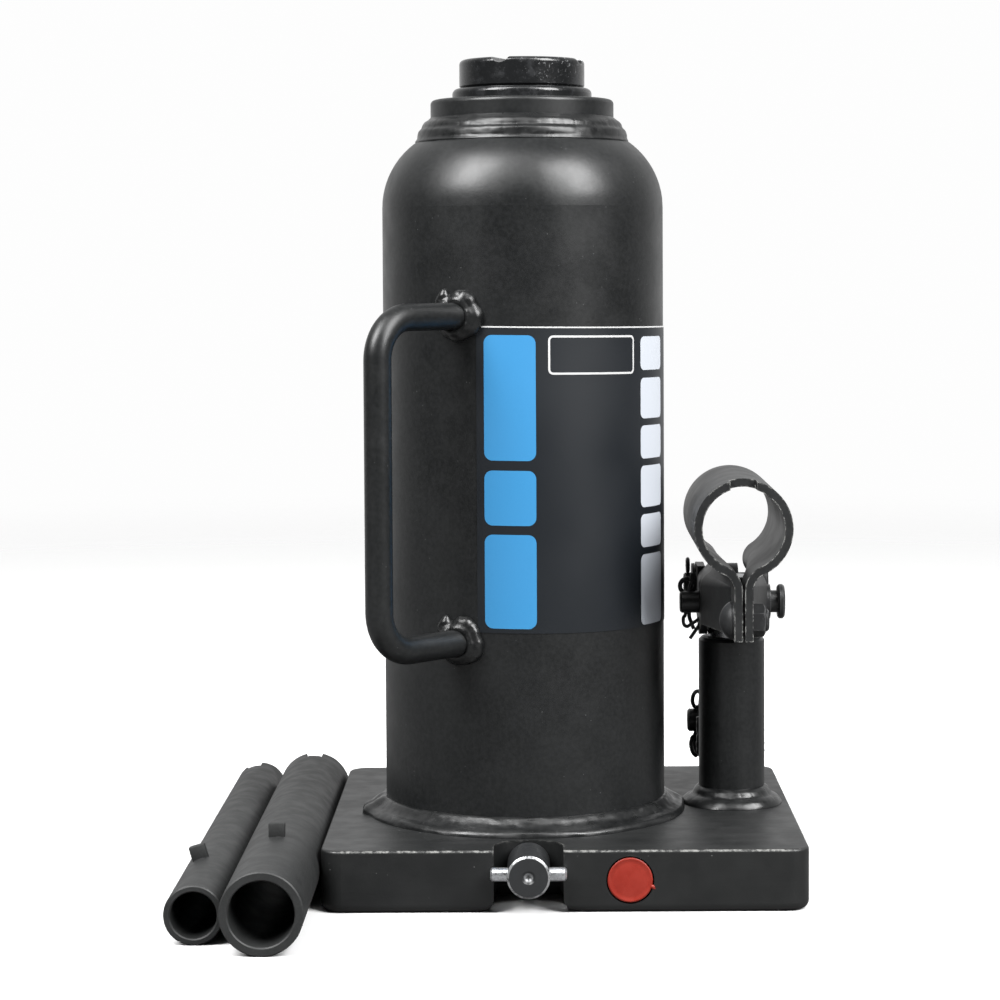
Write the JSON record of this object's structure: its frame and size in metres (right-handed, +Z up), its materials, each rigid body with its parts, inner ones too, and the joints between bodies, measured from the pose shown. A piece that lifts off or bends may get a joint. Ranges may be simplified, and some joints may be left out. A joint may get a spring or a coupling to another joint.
{
  "type": "bottle jack",
  "caption": "Welded hydraulic bottle jack with ram, screw saddle, lever pump, release valve, carrying handle and a two-piece pump handle beside it.",
  "frame": {"origin": "on the oil tank's axis at floor level, on the base's lower face", "axes": "+Z up along the ram, -Y towards the release valve (front), +X towards the pump"},
  "size_m": [0.1621, 0.184, 0.2225],
  "materials": {
    "black_paint": "satin charcoal-black powder coat",
    "weld_paint": "charcoal-black paint over weld, glossier than the plates",
    "grey_paint": "matt dark grey powder coat",
    "black_oxide": "blackened steel, scratched bright on its edges",
    "dark_steel": "blackened steel hardware",
    "zinc_steel": "bright zinc-plated steel",
    "steel": "ground steel",
    "gasket_metal": "soft annealed metal",
    "seal_rubber": "black nitrile rubber",
    "guide_plastic": "plain nylon",
    "red_plastic": "red moulded plastic",
    "label_film": "printed film, navy ground, without any lettering"
  },
  "bodies": {
    "root": {"base": "black_paint", "side_plugs": "steel", "reservoir_tank": "black_paint", "tank_weld": "weld_paint", "top_weld": "weld_paint", "top_nut": "black_paint", "ram_wiper": "seal_rubber", "ram_cylinder": "steel", "cylinder_gasket": "gasket_metal", "carry_handle": "black_paint", "handle_welds": "weld_paint", "label": "label_film", "oil_strainer": "gasket_metal", "pump_cylinder": "black_paint", "pump_gasket": "gasket_metal", "pump_weld": "weld_paint", "plunger_wiper": "seal_rubber", "fulcrum_bracket": "black_paint", "fulcrum_pin": "dark_steel", "fulcrum_pin_clip": "dark_steel", "delivery_spring": "steel", "delivery_plug": "steel", "relief_cap": "red_plastic", "relief_spring": "steel", "relief_screw": "steel"},
    "ram": {"ram": "black_oxide", "ram_seal": "seal_rubber", "ram_guide_ring": "guide_plastic"},
    "stop_ring": {"screw_stop_ring": "steel"},
    "screw": {"extension_screw": "steel", "saddle": "black_oxide"},
    "plunger": {"pump_plunger": "steel", "plunger_seal": "seal_rubber", "plunger_pin": "dark_steel", "plunger_pin_washer": "dark_steel", "plunger_pin_clip": "dark_steel"},
    "socket": {"handle_socket": "black_paint", "clamp_bolt": "dark_steel", "clamp_nut": "dark_steel"},
    "link": {"pump_link": "black_paint", "link_pin": "dark_steel", "link_pin_washer": "dark_steel", "link_pin_clip": "dark_steel"},
    "valve_ring": {"release_o_ring": "seal_rubber"},
    "valve": {"release_spindle": "dark_steel", "release_cross_pin": "zinc_steel"},
    "release_ball": {"release_ball": "steel"},
    "filler_plug": {"filler_plug": "seal_rubber"},
    "suction_ball": {"suction_ball": "steel"},
    "delivery_ball": {"delivery_ball": "steel"},
    "relief_ball": {"relief_ball": "steel"},
    "tube_large": {"handle_tube_large": "grey_paint"},
    "tube_small": {"handle_tube_small": "grey_paint"}
  },
  "joints": [
    {"name": "ram_lift", "type": "slide", "parent": "root", "child": "ram", "axis": [0, 0, 1], "range_m": [0, 0.15]},
    {"name": "screw_rise", "type": "slide", "parent": "ram", "child": "stop_ring", "axis": [0, 0, 1], "range_m": [0, 0.075]},
    {"name": "screw_turn", "type": "hinge", "parent": "stop_ring", "child": "screw", "pos_m": [0, 0, 0.2146], "axis": [0, 0, 1], "range_deg": [0, 6740]},
    {"name": "plunger_stroke", "type": "slide", "parent": "root", "child": "plunger", "axis": [0, 0, 1], "range_m": [0, 0.0137]},
    {"name": "pump_lever", "type": "hinge", "parent": "plunger", "child": "socket", "pos_m": [0.0577, 0.007, 0.0723], "axis": [-1, 0, 0], "range_deg": [0, 50]},
    {"name": "link_swing", "type": "hinge", "parent": "root", "child": "link", "pos_m": [0.0577, 0.025, 0.0362], "axis": [1, 0, 0], "range_deg": [0, 2.7]},
    {"name": "valve_travel", "type": "slide", "parent": "root", "child": "valve_ring", "axis": [0, -1, 0], "range_m": [0, 0.0025]},
    {"name": "valve_turn", "type": "hinge", "parent": "valve_ring", "child": "valve", "pos_m": [0.001, -0.0615, 0.0106], "axis": [0, -1, 0], "range_deg": [0, 720]},
    {"name": "release_ball_lift", "type": "slide", "parent": "root", "child": "release_ball", "axis": [0, -1, 0], "range_m": [0, 0.0024]},
    {"name": "filler_plug_pull", "type": "slide", "parent": "root", "child": "filler_plug", "axis": [0, 1, 0], "range_m": [0, 0.012]},
    {"name": "suction_ball_lift", "type": "slide", "parent": "root", "child": "suction_ball", "axis": [0, 0, 1], "range_m": [0, 0.003]},
    {"name": "delivery_ball_lift", "type": "slide", "parent": "root", "child": "delivery_ball", "axis": [0, 1, 0], "range_m": [0, 0.0015], "stiffness_N_per_m": 30, "springref_m": -0.004, "deforming": ["delivery_spring"]},
    {"name": "relief_ball_lift", "type": "slide", "parent": "root", "child": "relief_ball", "axis": [0, -1, 0], "range_m": [0, 0.001], "stiffness_N_per_m": 30, "springref_m": -0.004, "deforming": ["relief_spring"]},
    {"name": "tube_large_lift", "type": "slide", "parent": "root", "child": "tube_large", "axis": [0, 0, 1], "range_m": [0, 0.08]},
    {"name": "tube_small_lift", "type": "slide", "parent": "root", "child": "tube_small", "axis": [0, 0, 1], "range_m": [0, 0.08]}
  ],
  "couplings": [
    {"joint": "screw_rise", "follows": "screw_turn", "m_per_rad": 0.00063662},
    {"joint": "plunger_stroke", "follows": "pump_lever", "m_per_rad": 0.015632},
    {"joint": "link_swing", "follows": "pump_lever", "ratio": 0.0531},
    {"joint": "valve_turn", "follows": "valve_travel", "rad_per_m": 5026.5},
    {"joint": "release_ball_lift", "follows": "valve_travel", "ratio": 0.9}
  ]
}
